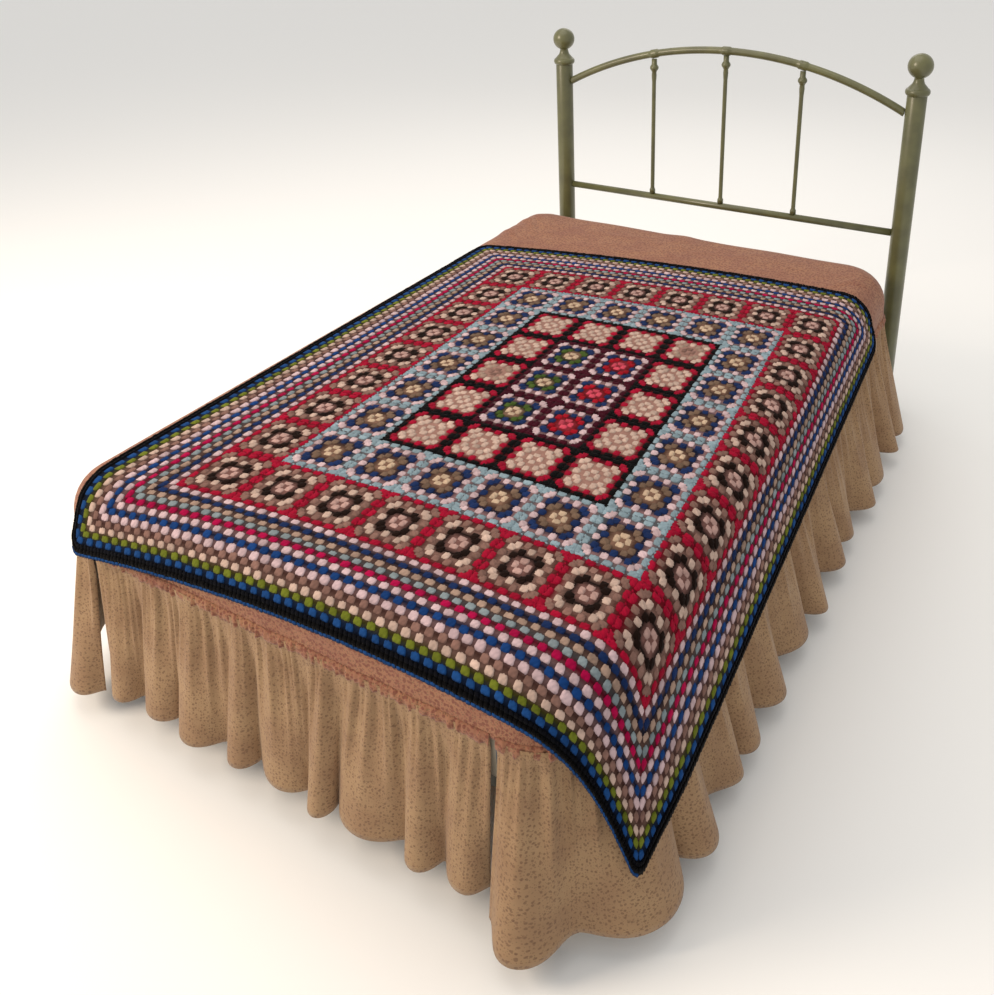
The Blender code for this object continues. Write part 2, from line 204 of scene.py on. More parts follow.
def from_bmesh(name, work):
    mesh = bpy.data.meshes.new(name)
    work.to_mesh(mesh)
    work.free()
    piece = bpy.data.objects.new(name, mesh)
    bpy.context.scene.collection.objects.link(piece)
    return piece


def cloth_grid(name, across, down, place, closed=False):
    """A grid whose points go where place(share across, share down) puts them: (positions, flat positions).

    closed joins the last column to the first, as round a bed."""
    work = bmesh.new()
    bmesh.ops.create_grid(work, x_segments=across, y_segments=down, size=0.5)
    points = np.array([v.co[:2] for v in work.verts]) + 0.5
    spots, flat = place(points[:, 0], points[:, 1])
    layer = work.loops.layers.uv.new("cloth")
    for vert, spot, at in zip(work.verts, spots, flat):
        vert.co = spot
        for loop in vert.link_loops:
            loop[layer].uv = at
    if closed:
        bmesh.ops.remove_doubles(work, verts=work.verts, dist=1e-5)
        bmesh.ops.dissolve_degenerate(work, edges=work.edges, dist=1e-6)
    bmesh.ops.recalc_face_normals(work, faces=work.faces)
    return from_bmesh(name, work)


def give_thickness(piece, thickness, offset=-1.0):
    """The cloth's own thickness, grown inwards from the side that shows."""
    solid = piece.modifiers.new("thickness", "SOLIDIFY")
    solid.thickness, solid.offset = thickness, offset
    solid.use_even_offset = False
    return piece


def ripple(x, waves, seed):
    """A smooth irregular ripple from -1 to 1: a few sines of near lengths, in cycles for each unit of x."""
    drawn = np.random.default_rng(seed)
    total = sum(np.sin(2 * pi * (w * x + drawn.random())) for w in waves)
    return total / len(waves)


print("helpers ready")

# %% [markdown]
# ## Where the blanket lies
#
# A point of the flat blanket is (u, v): u to the bed's right and v to its foot, from the blanket's middle.
# Crochet is stretchy, so it has pulled out of square. It lies askew, rolls over the bed's soft edge, and
# hangs from there, leaning out a little. One function says where each flat point goes, and all that belongs
# to the blanket uses it, so that each stitch sits on the cloth.

# %% Lay a flat point on the bed
COLUMNS, ROWS = 8, 9
PITCH_U, PITCH_V = 0.128, 0.142
SQUARE_ROUNDS, BORDER_ROUNDS = 5, 12
ROUND = 0.0134
EDGING = 0.016
HALF_U = COLUMNS * PITCH_U / 2 + BORDER_ROUNDS * ROUND
HALF_V = ROWS * PITCH_V / 2 + BORDER_ROUNDS * ROUND
LAID = {"x": 0.1346, "foot": 0.2147, "turn": 3.23}
PULL = {"fan": 0.071, "slope": 0.054, "sag": 0.031, "bow": 0.123}
LEAN = {"right": 18.7, "left": 9.0, "foot": 26.0, "corner": 14.0, "left_corner": 26.5}
CORNER = {"foot_right": 0.170, "foot_left": 0.105, "head_left": 0.110, "head_right": 0.130}
ROLL = 0.080
MIDDLE_Y = FOOT_Y + 1.012          # the line that the blanket's place is measured from
FOOT_REACH = MIDDLE_Y - FOOT_Y


def roll_over(run, radius, bend):
    """How far out and down a cloth is, this far past the start of a rounded edge that bends it this much."""
    bent = np.clip(run / radius, 0, bend)
    rest = np.maximum(run - radius * bend, 0)
    return radius * np.sin(bent) + rest * np.cos(bend), radius * (1 - np.cos(bent)) + rest * np.sin(bend)


def lay(u, v, off):
    """Where the blanket's flat point lies, off above the spread."""
    u, v = np.broadcast_arrays(np.asarray(u, float), np.asarray(v, float))
    askew = radians(LAID["turn"])
    p = LAID["x"] + u * cos(askew) + v * sin(askew) + PULL["fan"] * u * v
    q = LAID["foot"] - u * sin(askew) + v * cos(askew)
    q = q + PULL["slope"] * u * v + PULL["sag"] * v * v + PULL["bow"] * u * u
    right = p > 0
    corner = np.where(right, CORNER["foot_right"], CORNER["foot_left"])
    side_c, foot_c = HALF_W - corner, FOOT_REACH - corner
    past_side, past_foot = np.abs(p) - side_c, q - foot_c
    at_corner = (past_side > 0) & (past_foot > 0)
    reach = np.where(at_corner, np.hypot(past_side, past_foot), np.maximum(past_side, past_foot))
    way = np.where(at_corner, np.arctan2(past_foot, np.maximum(past_side, 1e-9)),
                   np.where(past_foot > past_side, pi / 2, 0.0))
    share = 2 * way / pi
    side_lean = np.where(right, LEAN["right"], LEAN["left"])
    corner_lean = np.where(right, LEAN["corner"], LEAN["left_corner"])
    lean = side_lean * (1 - share) + LEAN["foot"] * share
    lean = np.radians(lean + (corner_lean - lean) * np.sin(2 * way))
    run = np.maximum(reach - (corner - ROLL), 0)
    out, down = roll_over(run, ROLL + off, pi / 2 - lean)
    spread_to = np.minimum(reach, corner - ROLL) + out
    sign = np.where(right, 1.0, -1.0)
    x = np.where(at_corner, sign * (side_c + spread_to * np.cos(way)),
                 np.where((run > 0) & (past_side >= past_foot), sign * (side_c + spread_to), p))
    foot = np.where(at_corner, foot_c + spread_to * np.sin(way),
                    np.where((run > 0) & (past_foot > past_side), foot_c + spread_to, q))
    return np.stack([MIDDLE_X + x, MIDDLE_Y - foot, TOP + off - down], -1)


ROUNDED = 0.040                              # a blocked corner is not a point


def round_corner(u, v):
    """Draws points near a corner in to a round one, and gives the way outwards there (0, 0 elsewhere)."""
    u, v = np.asarray(u, float), np.asarray(v, float)
    past_u = np.abs(u) - (HALF_U + EDGING - ROUNDED)
    past_v = np.abs(v) - (HALF_V + EDGING - ROUNDED)
    near = (past_u > 1e-6) & (past_v > 1e-6)
    reach, long = np.maximum(past_u, past_v), np.hypot(past_u, past_v)
    long = np.where(near, long, 1)
    drawn = []
    ways = []
    for at, past in ((u, past_u), (v, past_v)):
        drawn.append(np.where(near, np.sign(at) * (np.abs(at) - past + past * reach / long), at))
        ways.append(np.where(near, np.sign(at) * past / long, 0))
    return (*drawn, *ways)


def round_rows(rows):
    """The same for a table of stitches, which turn to face outwards round the corner."""
    turned = []
    for u, v, out_u, out_v, *size in rows:
        new_u, new_v, way_u, way_v = (float(c) for c in round_corner(u, v))
        turned.append((new_u, new_v, way_u, way_v, *size) if way_u or way_v else (u, v, out_u, out_v, *size))
    return turned


low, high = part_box("blanket")
gap = np.abs(lay([-HALF_U, HALF_U], [HALF_V, HALF_V], 0.003)[:, 2] - [high.z, low.z])
hangs = float(TOP - lay(HALF_U, HALF_V, 0.003)[2])
print("the near corner hangs", round(hangs, 3), "m, off the CAD by", gap[1].round(4))

# %% [markdown]
# ## Yarn
#
# Double knitting wool takes dye a little unevenly, is matt, and has a fine halo of fibres. A cluster carries
# its own colour, darkened at its foot as painted shade, as an attribute, so one material serves them all. The
# twist of the two plies shows as slanting ridges about 2 mm apart, and they follow the cluster's own UV map.

# %% Wool
YARN = {
    "cream": "d8c9b6", "yellow_cream": "dbcdac", "pink_cream": "ccb2a6", "pink_white": "ded0d2",
    "beige": "b6a591", "taupe": "957a6d", "olive_brown": "80705c", "brown": "1f110a",
    "crimson": "ad1036", "red": "b01026", "coral": "e65a70", "magenta": "b80d50", "plum": "45091f",
    "navy": "1d3768", "royal": "1a4a8c", "blue": "1f5596", "aqua": "95b9c2", "grey_aqua": "93adb0",
    "green": "4c6a2c", "lime": "76892c", "black": "070708", "ink": "080b14",
}
DYED = np.array([0.66, 0.56, 0.58])          # wool takes in light between its fibres
YARN_RGB = {name: np.array(linear(code)[:3]) * DYED for name, code in YARN.items()}
PLY_MM, FUZZ_MM = 2.2, 0.9

wool, tree, shader = new_material("double_knitting_wool", linear(YARN["cream"]), 0.92,
                                  Sheen_Weight=0.03, Sheen_Roughness=0.4, Specular_IOR_Level=0.08)
# the yarn attribute holds yarn colours with painted shade: at each cluster's foot and on the sheet between
# clusters
yarn_and_painted_shade = add(tree, "ShaderNodeAttribute", attribute_name="yarn")
place = add(tree, "ShaderNodeTexCoord")
uneven = stretched(tree, noise(tree, place.outputs["Object"], 12, 3.0), 0.3, 0.7, 0.84, 1.12)
tinted = add(tree, "ShaderNodeVectorMath", {0: yarn_and_painted_shade.outputs["Color"], "Scale": uneven}, operation="SCALE")
tree.links.new(tinted.outputs["Vector"], shader.inputs["Base Color"])
twist = add(tree, "ShaderNodeTexWave", {"Vector": place.outputs["UV"], "Scale": 1000 / PLY_MM / (2 * pi),
                                        "Distortion": 1.5, "Detail": 1.0}, bands_direction="DIAGONAL")
fuzz = noise(tree, place.outputs["Object"], FUZZ_MM)
plies = bump(tree, shader, twist.outputs["Fac"], 0.0006, 0.7)
bump(tree, shader, fuzz, 0.0004, 0.5, under=plies)
print(len(YARN), "yarns")

# %% [markdown]
# One cluster is three double crochet stitches worked into one gap: three short upright cords side by side,
# close at the foot and fanned at the top. It starts as a small grid. Its points are fanned out and raised
# into three ridges, and one face closes it below, so a cluster has only 19 faces. Thousands of them follow.

# %% One cluster
cluster = bmesh.new()
bmesh.ops.create_grid(cluster, x_segments=6, y_segments=3, size=1)
for vert in cluster.verts:
    x, y = vert.co.x, vert.co.y
    on_rim = max(abs(x), abs(y)) > 0.99
    wide, deep = x * sqrt(1 - 0.46 * y * y), y * sqrt(1 - 0.46 * x * x)     # a square drawn in to a round
    fan = 0.80 + 0.20 * min(1.0, (y + 1) / 1.1)            # narrower where it grows out of the gap
    ridge = 0.90 + 0.10 * cos(3 * pi * x)
    dimple = 0.16 if abs(x) < 0.1 and 0.1 < y < 0.9 else 0.0    # the last loop draws the middle post in
    dome = sqrt(max(0.0, 1 - 0.40 * x * x - 0.34 * y * y))
    vert.co = (wide * fan, deep, 0.0 if on_rim else ridge * dome - dimple)
bmesh.ops.holes_fill(cluster, edges=[e for e in cluster.edges if e.is_boundary], sides=0)
bmesh.ops.recalc_face_normals(cluster, faces=cluster.faces)
CLUSTER_POINTS = np.array([v.co[:] for v in cluster.verts])
CLUSTER_FACES = [[v.index for v in face.verts] for face in cluster.faces]
cluster.free()
print("a cluster has", len(CLUSTER_FACES), "faces")


# %% [markdown]
# Stitches are placed by a table with one row each: the middle on the flat blanket, the way outwards, half the
# width, half the depth and the height, and the yarn. No two hand-made stitches are quite alike, so a
# seeded draw moves, turns, fattens and tints each a little.

# %% Place many stitches at once
def crochet(name, rows, yarns, seed, base=0.0045, wander=0.0006):
    """Joins one cluster for each row (u, v, outward u, outward v, half width, half depth, height)."""
    rows = np.asarray(rows, float)
    drawn = np.random.default_rng(seed)
    count = len(rows)
    middle = rows[:, :2] + drawn.normal(0, wander, (count, 2))
    swing = drawn.normal(0, 0.07, count)
    out_u, out_v = rows[:, 2], rows[:, 3]
    out = np.stack([out_u * np.cos(swing) - out_v * np.sin(swing),
                    out_u * np.sin(swing) + out_v * np.cos(swing)], 1)
    along = np.stack([out[:, 1], -out[:, 0]], 1)
    wide = rows[:, 4] * drawn.normal(1, 0.05, count)
    deep = rows[:, 5] * drawn.normal(1, 0.05, count)
    tall = rows[:, 6] * drawn.normal(1, 0.08, count)
    unit = CLUSTER_POINTS
    flat = (middle[:, None] + along[:, None] * (unit[None, :, 0] * wide[:, None])[..., None]
            + out[:, None] * (unit[None, :, 1] * deep[:, None])[..., None])
    height = base + unit[None, :, 2] * tall[:, None]
    spots = lay(flat[..., 0], flat[..., 1], height)
    size = len(unit)
    faces = [[i * size + k for k in face] for i in range(count) for face in CLUSTER_FACES]
    mesh = bpy.data.meshes.new(name)
    mesh.from_pydata(spots.reshape(-1, 3), [], faces)
    tint = np.array([YARN_RGB[y] for y in yarns]) * drawn.normal(1, 0.09, (count, 1)).clip(0.75, 1.25)
    colour = np.ones((count, size, 4))
    # painted shade: the foot of a cluster sits deep between its neighbours, so its colour is darkened there
    colour[..., :3] = tint[:, None] * (0.45 + 0.55 * np.clip(unit[None, :, 2:3] * 1.6, 0, 1))
    yarn_and_painted_shade_layer = mesh.attributes.new("yarn", "FLOAT_COLOR", "POINT")
    yarn_and_painted_shade_layer.data.foreach_set("color", colour.ravel().astype(np.float32))
    corner = np.zeros(len(mesh.loops), np.int32)
    mesh.loops.foreach_get("vertex_index", corner)
    scale = np.stack([wide, deep], 1)[corner // size]
    local = unit[corner % size, :2] * scale
    mesh.uv_layers.new(name="stitch").data.foreach_set("uv", local.ravel().astype(np.float32))
    piece = bpy.data.objects.new(name, mesh)
    bpy.context.scene.collection.objects.link(piece)
    return finish_piece(piece, wool)


SIDES = ((1, 0), (0, 1), (-1, 0), (0, -1))


CENTRE = 0.40                                # the ring of chains in the middle, in rounds
SQUARE_HEIGHT = 0.0050                       # how far a square's clusters stand up
TO_CORNER = (0.0, 0.30, 0.36, 0.34, 0.08)    # how far a round's corner clusters are drawn to the corner


def square_rows(middle_u, middle_v):
    """The clusters of one five-round square: round n has n on each of its four sides."""
    step_u, step_v = PITCH_U / 2 / SQUARE_ROUNDS, PITCH_V / 2 / SQUARE_ROUNDS
    shrink = SQUARE_ROUNDS / (SQUARE_ROUNDS + CENTRE)
    rows, rounds = [], []
    for n in range(1, SQUARE_ROUNDS + 1):
        for out_u, out_v in SIDES:
            deep, wide = (step_u * shrink, step_v) if out_u else (step_v * shrink, step_u)
            for i in range(n):
                place = (i - (n - 1) / 2) * 2
                corner = TO_CORNER[n - 1] * (abs(place) / max(1, n - 1)) ** 4
                along = (place + (corner if place > 0 else -corner)) * wide
                out = (n - 0.52 + CENTRE + corner + (0.06 if n == 1 else 0)) * deep
                broad, long = (0.84, 0.94) if n == 1 else (0.72, 1.20)
                if n == SQUARE_ROUNDS:                     # the last round is worked closer
                    broad, long = 0.98, 0.96
                rows.append((middle_u + out_u * out + out_v * along, middle_v + out_v * out - out_u * along,
                             out_u, out_v, wide * broad, deep * long, SQUARE_HEIGHT))
                rounds.append(n - 1)
    return rows, rounds


print("a square has", len(square_rows(0, 0)[0]), "clusters")

# %% [markdown]
# ## The squares
#
# Squares are grouped by how far in they are from the blanket's edge: 30, then 22, then 14, and 6 in the
# middle in two colourings. A table names the five yarns of each kind, from the centre outwards.

# %% Crochet the squares
KINDS = {
    0: ("pink_cream", "brown", "cream", "taupe", "crimson"),
    1: ("yellow_cream", "olive_brown", "navy", "pink_white", "aqua"),
    2: ("cream", "cream", "cream", "crimson", "black"),
    "left": ("yellow_cream", "green", "navy", "pink_white", "plum"),
    "right": ("coral", "red", "navy", "pink_white", "plum"),
}
NAMES = {0: "squares_outer", 1: "squares_second", 2: "squares_third", 3: "squares_middle"}
TAUPE_CENTRED = ((2, 4), (5, 2))            # squares of the third group begun with a darker yarn
groups = {depth: ([], []) for depth in NAMES}


def kind_of(column, row):
    """How far in a square is, and the yarns of its kind."""
    depth = min(column, COLUMNS - 1 - column, row, ROWS - 1 - row)
    return depth, KINDS[depth] if depth < 3 else KINDS["left" if column < COLUMNS / 2 else "right"]


for column in range(COLUMNS):
    for row in range(ROWS):
        depth, kind = kind_of(column, row)
        if (column, row) in TAUPE_CENTRED:
            kind = ("taupe", "beige") + kind[2:]
        rows, rounds = square_rows((column - (COLUMNS - 1) / 2) * PITCH_U, (row - (ROWS - 1) / 2) * PITCH_V)
        groups[depth][0].extend(rows)
        groups[depth][1].extend(kind[r] for r in rounds)
squares = [crochet(NAMES[depth], rows, yarns, seed=11 + depth) for depth, (rows, yarns) in groups.items()]

# %% [markdown]
# ## The border
#
# Twelve rounds go round all the squares. Each is one colour, and each side gains one cluster for every round,
# as a square's does. The gaps of a round are filled by the next, so the colours stand in slanting rows.

# %% Crochet the border
BORDER = ("pink_white", "navy", "beige", "grey_aqua", "magenta", "pink_white", "royal", "pink_white",
          "taupe", "cream", "lime", "blue")
FAT_ROUND = 7                                # its clusters are of thicker yarn


def border_rows(n):
    """The clusters of border round n, counted from 0, on its four sides."""
    fat = 1.10 if n == FAT_ROUND else 1.0
    width_share, depth_share, height = 0.84 * fat, 0.90 * fat, 0.0052 * fat
    rows = []
    reach_u = COLUMNS * PITCH_U / 2 + (n + 0.52) * ROUND
    reach_v = ROWS * PITCH_V / 2 + (n + 0.52) * ROUND
    for out_u, out_v in SIDES:
        squares_along = ROWS if out_u else COLUMNS
        length = 2 * (reach_v if out_u else reach_u)
        count = squares_along * SQUARE_ROUNDS + n + 1
        step = length / count
        for i in range(count):
            along = (i - (count - 1) / 2) * step
            out = reach_u if out_u else reach_v
            rows.append((out_u * out + out_v * along, out_v * out - out_u * along, out_u, out_v,
                         step / 2 * width_share, ROUND * depth_share, height))
    return rows


halves = {"border_inner": range(0, 6), "border_outer": range(6, BORDER_ROUNDS)}
for number, (name, rounds) in enumerate(halves.items()):
    rows, yarns = [], []
    for n in rounds:
        made = round_rows(border_rows(n))
        rows += made
        yarns += [BORDER[n]] * len(made)
    crochet(name, rows, yarns, seed=31 + number)

# %% [markdown]
# ## The edging
#
# Two close rows of single crochet in near-black wool bind the blanket. Short fat stitches, 9 mm apart, stand
# side by side. Along the foot, a last row in blue peeps out below them.

# %% Crochet the edging
STITCH = 0.0092
DARK_HEIGHT, BLUE_HEIGHT = 0.0060, 0.0030


def edging_rows(inner, outer, height, sides=SIDES):
    rows = []
    reach = (inner + outer) / 2
    for out_u, out_v in sides:
        half = (HALF_V if out_u else HALF_U) + reach
        out = (HALF_U if out_u else HALF_V) + reach
        count = round(2 * half / STITCH)
        for i in range(count):
            along = (i - (count - 1) / 2) * 2 * half / count
            rows.append((out_u * out + out_v * along, out_v * out - out_u * along, out_u, out_v,
                         STITCH * 0.62, (outer - inner) * 0.72, height))
    return rows


first = round_rows(edging_rows(0.0, EDGING * 0.60, DARK_HEIGHT))
second = round_rows(edging_rows(EDGING * 0.52, EDGING * 1.14, DARK_HEIGHT))
blue = round_rows(edging_rows(EDGING * 1.06, EDGING * 1.34, BLUE_HEIGHT, sides=((0, 1),)))
yarns = ["ink"] * len(first) + ["black"] * len(second) + ["blue"] * len(blue)
edging = crochet("edging_stitches", first + second + blue, yarns, seed=51, wander=0.0003)
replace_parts(edging, "blanket_edging")

# %% [markdown]
# ## The cloth under the stitches
#
# Between the clusters, chains and the backs of stitches close the cloth. A thin sheet stands for them. It is
# darker than the clusters, because it lies in their shade, and it takes the colour of the round it is in.

# %% The blanket's ground
CELL = 0.0064
across = round(2 * (HALF_U + EDGING) / CELL / 2)
down = round(2 * (HALF_V + EDGING) / CELL / 2)


def ground_place(share_u, share_v):
    u = (share_u - 0.5) * 2 * (HALF_U + EDGING * 0.9)
    v = (share_v - 0.5) * 2 * (HALF_V + EDGING * 0.9)
    round_u, round_v, _, _ = round_corner(u, v)
    return lay(round_u, round_v, 0.0052), np.stack([u, v], 1)


def yarn_at(u, v):
    """The yarn of the round that a flat point is in."""
    over = max(abs(u) - COLUMNS * PITCH_U / 2, abs(v) - ROWS * PITCH_V / 2)
    if over > BORDER_ROUNDS * ROUND:
        return "ink"
    if over > 0:
        return BORDER[int(over / ROUND)]
    column = min(COLUMNS - 1, int(u / PITCH_U + COLUMNS / 2))
    row = min(ROWS - 1, int(v / PITCH_V + ROWS / 2))
    _, kind = kind_of(column, row)
    off_u = abs(u / PITCH_U + COLUMNS / 2 - column - 0.5) * 2
    off_v = abs(v / PITCH_V + ROWS / 2 - row - 0.5) * 2
    rounds = max(off_u, off_v) * (SQUARE_ROUNDS + CENTRE) - CENTRE
    return kind[min(SQUARE_ROUNDS - 1, max(0, int(rounds)))]


ground = cloth_grid("blanket_ground", across, down, ground_place)
OPEN_SHADE, CLOSE_SHADE, CREAM_SHADE = 0.22, 0.36, 0.60      # of the border, the squares, the cream squares
SHADOW = np.array([1.0, 0.76, 0.74])         # light between clusters is warm from bouncing off the wool
flat_uv = {}
for loop, at in zip(ground.data.loops, ground.data.uv_layers["cloth"].data):
    flat_uv[loop.vertex_index] = at.uv[:]
tones = np.ones((len(ground.data.vertices), 4), np.float32)
for index, (u, v) in flat_uv.items():
    yarn = yarn_at(u, v)
    in_border = abs(u) > COLUMNS * PITCH_U / 2 or abs(v) > ROWS * PITCH_V / 2
    in_third = abs(u) < 2 * PITCH_U and abs(v) < 2.5 * PITCH_V
    shade = OPEN_SHADE if in_border else CREAM_SHADE if in_third and yarn == "cream" else CLOSE_SHADE
    tones[index, :3] = YARN_RGB[yarn] * shade * SHADOW
# painted shade: the sheet's yarn attribute holds each round's colour darkened and warmed
ground.data.attributes.new("yarn", "FLOAT_COLOR", "POINT").data.foreach_set("color", tones.ravel())
give_thickness(ground, 0.0022)
finish_piece(ground, wool)
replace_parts(ground, "blanket")

# %% [markdown]
# ## The seams between squares
#
# The squares are whipped together, edge to edge. The seam stands up as a thin cord of slanting stitches,
# in the yarn of the squares' last round. Small stitches laid across each line make it.

# %% Whip the squares together
SEAM_STEP = 0.0100
SEAM_STITCH = (0.0026, SEAM_STEP * 0.62, 0.0042)     # half its width, half its length and its height
INWARD = 0.994                                       # a seam's yarn is that of the square on its inner side
rows, yarns = [], []
for line in range(1, COLUMNS):
    u = (line - COLUMNS / 2) * PITCH_U
    for i in range(round(ROWS * PITCH_V / SEAM_STEP)):
        v = -ROWS * PITCH_V / 2 + (i + 0.5) * SEAM_STEP
        rows.append((u, v, 0.35, 0.94, *SEAM_STITCH))
for line in range(1, ROWS):
    v = (line - ROWS / 2) * PITCH_V
    for i in range(round(COLUMNS * PITCH_U / SEAM_STEP)):
        u = -COLUMNS * PITCH_U / 2 + (i + 0.5) * SEAM_STEP
        rows.append((u, v, 0.94, 0.35, *SEAM_STITCH))
for u, v, *_ in rows:
    yarns.append(yarn_at(u * INWARD, v * INWARD))
seams = crochet("whipped_seams", rows, yarns, seed=61, wander=0.0002)

# %% [markdown]
# ## Printed cotton
#
# The spread and its frill are of thin plain-woven cotton, printed with small sprigs: a bud of a few petals
# and two leaves, every 8 or 9 mm, in rose and brown on a dusty ground. Cells of a Voronoi texture scatter
# the sprigs on the cloth's own UV map, and each cell's colour says which print it holds.

# %% Cotton prints
WEAVE_MM = 1.4


def printed_cotton(name, ground_code, blotch_code, petal_codes, leaf_code, sprig_mm, bud, density, strength):
    """Cotton with a soft two-tone ground, buds of about this radius in cells, and leaves between them."""
    made, tree, shader = new_material(name, linear(ground_code), 0.82, Sheen_Weight=0.12,
                                      Specular_IOR_Level=0.3)
    at = add(tree, "ShaderNodeTexCoord").outputs["UV"]
    cloudy = stretched(tree, noise(tree, at, 90, 3.0), 0.38, 0.62)
    colour = mixed(tree, cloudy, linear(ground_code), linear(blotch_code))
    for spread_mm, size, code, kept in (
        (sprig_mm * 0.60, bud * 0.62, leaf_code, density),
        (sprig_mm * 0.76, bud * 0.75, petal_codes[1], density * 0.8),
        (sprig_mm, bud, petal_codes[0], density),
    ):
        wavy = add(tree, "ShaderNodeTexNoise", {"Vector": at, "Scale": 1000 / 5, "Detail": 2.0})
        bent = add(tree, "ShaderNodeVectorMath", {0: wavy.outputs["Color"], "Scale": 0.0028},
                   operation="SCALE")
        moved = add(tree, "ShaderNodeVectorMath", {0: at, 1: bent.outputs["Vector"]}, operation="ADD")
        cells = add(tree, "ShaderNodeTexVoronoi",
                    {"Vector": moved.outputs["Vector"], "Scale": 1000 / spread_mm}, voronoi_dimensions="2D")
        inside = add(tree, "ShaderNodeMath", {0: cells.outputs["Distance"], 1: size}, operation="LESS_THAN")
        apart = add(tree, "ShaderNodeSeparateColor", {"Color": cells.outputs["Color"]})
        chosen = add(tree, "ShaderNodeMath", {0: apart.outputs["Red"], 1: kept}, operation="LESS_THAN")
        both = add(tree, "ShaderNodeMath", {0: inside.outputs["Value"], 1: chosen.outputs["Value"]},
                   operation="MULTIPLY")
        faint = add(tree, "ShaderNodeMath", {0: both.outputs["Value"], 1: strength}, operation="MULTIPLY")
        colour = mixed(tree, faint.outputs["Value"], colour, linear(code))
    tree.links.new(colour, shader.inputs["Base Color"])
    creases = bump(tree, shader, noise(tree, at, 45, 4.0), 0.006, 0.5)
    bump(tree, shader, noise(tree, at, WEAVE_MM), 0.0003, 0.5, under=creases)
    return made


spread_cotton = printed_cotton("rose_printed_cotton", "97694c", "8d5e47", ("6f3a2c", "824a3a"), "5c432e",
                               sprig_mm=9, bud=0.34, density=0.80, strength=0.74)
frill_cotton = printed_cotton("sprigged_cotton", "9b7d5c", "8f7052", ("5a3a2a", "6d4936"), "5f4a33",
                              sprig_mm=8, bud=0.25, density=0.66, strength=0.52)
print("prints ready")

# %% [markdown]
# ## The spread
#
# The cover is sewn to the mattress's shape: a flat top, a soft rolled edge with round corners, and a short
# side that ends at the frill's seam. A grid wraps round the bed: across it goes once round the outline, and
# down it goes from the seam, over the edge and in to the middle. Gathers pucker it just above the seam, and
# the top has the shallow rumples of a cover that is smoothed by hand.

# %% Round the bed's outline
CORNERS = (("foot_right", 1, -1, 0.0), ("foot_left", -1, -1, -pi / 2),
           ("head_left", -1, 1, -pi), ("head_right", 1, 1, -1.5 * pi))


def outline_parts():
    """The outline's arcs and straights in order from its right side, as (length, kind, values)."""
    parts = []
    for index, (name, side, end, start) in enumerate(CORNERS):
        radius = CORNER[name]
        middle = (side * (HALF_W - radius), -(FOOT_REACH - radius) if end < 0 else HEAD_Y - MIDDLE_Y - radius)
        parts.append((radius * pi / 2, "arc", (middle, radius, start)))
        following, next_side, next_end, _ = CORNERS[(index + 1) % 4]
        next_r = CORNER[following]
        next_middle = (next_side * (HALF_W - next_r),
                       -(FOOT_REACH - next_r) if next_end < 0 else HEAD_Y - MIDDLE_Y - next_r)
        out = (cos(start - pi / 2), sin(start - pi / 2))
        begin = (middle[0] + radius * out[0], middle[1] + radius * out[1])
        stop = (next_middle[0] + next_r * out[0], next_middle[1] + next_r * out[1])
        parts.append((dist(begin, stop), "straight", (begin, stop, out)))
    return parts


PARTS = outline_parts()
AROUND = sum(part[0] for part in PARTS)


def outline_at(distance):
    """Points of the bed's outline and the ways outwards, at these distances along it."""
    distance = np.asarray(distance, float) % AROUND
    points, ways = np.zeros((len(distance), 2)), np.zeros((len(distance), 2))
    begun = 0.0
    for length, kind, values in PARTS:
        inside = (distance >= begun - 1e-12) & (distance < begun + length + 1e-12)
        share = (distance[inside] - begun) / length
        if kind == "arc":
            middle, radius, start = values
            turned = start - share * pi / 2
            way = np.stack([np.cos(turned), np.sin(turned)], 1)
            points[inside] = np.array(middle) + radius * way
        else:
            first, last, out = (np.array(v) for v in values)
            way = np.repeat(out[None], inside.sum(), 0)
            points[inside] = first + (last - first) * share[:, None]
        ways[inside] = way
        begun += length
    return points + np.array([MIDDLE_X, MIDDLE_Y]), ways


print("once round the bed is", round(AROUND, 2), "m")

# %% Sew the spread
SIDE = TOP - ROLL - SEAM_Z
SIDE_SHARE, ROLL_SHARE = 0.34, 0.36


def side_out(s, above):
    """How far the spread's side stands out from the outline, this far above the seam."""
    pucker = 0.0018 * (1 + ripple(s, (52, 71, 96), 3)) * np.exp(-(above / 0.022) ** 2)
    return 0.0008 + pucker + 0.0016 * (1 + ripple(s, (4.1, 6.3, 9.7), 4))


def spread_place(share_s, share_t):
    s = share_s * AROUND
    point, way = outline_at(s)
    side = np.clip(share_t / SIDE_SHARE, 0, 1)
    roll = np.clip((share_t - SIDE_SHARE) / ROLL_SHARE, 0, 1) * pi / 2
    inward = np.clip((share_t - SIDE_SHARE - ROLL_SHARE) / (1 - SIDE_SHARE - ROLL_SHARE), 0, 1)
    inset = ROLL * (1 - np.cos(roll))
    height = SEAM_Z + SIDE * side + ROLL * np.sin(roll)
    # gathers at the seam die out within 45 mm; broader drapes run down the side
    stands = side_out(s, side * SIDE) * np.clip(1 - roll / 1.4, 0, 1)
    flat = point - way * inset[:, None]
    flat = BED_MIDDLE + (flat - BED_MIDDLE) * (1 - inward)[:, None]
    plan = flat + way * stands[:, None]
    x, y = plan[:, 0], plan[:, 1]
    bent = y + 0.10 * np.sin(3 * x) + 0.02 * np.sin(11 * x)
    rumple = 0.0035 * (1 + ripple(bent, (6.2, 10.9, 17.1), 5)) * (0.5 + 0.5 * ripple(x, (2.1, 3.7), 6))
    rumple = rumple * np.clip((y - (HEAD_Y - 0.31)) / 0.05, 0, 1) * np.clip((HEAD_Y + 0.06 - y) / 0.10, 0, 1)
    height = height + np.maximum(rumple, 0) * (share_t > SIDE_SHARE) * np.sin(roll)
    unrolled = point + way * np.where(share_t < SIDE_SHARE, (1 - side) * SIDE + ROLL * pi / 2,
                                      (pi / 2 - roll) * ROLL)[:, None]
    cloth = np.where((inward > 0)[:, None], flat, unrolled - way * ROLL)
    return np.column_stack([x, y, height]), cloth


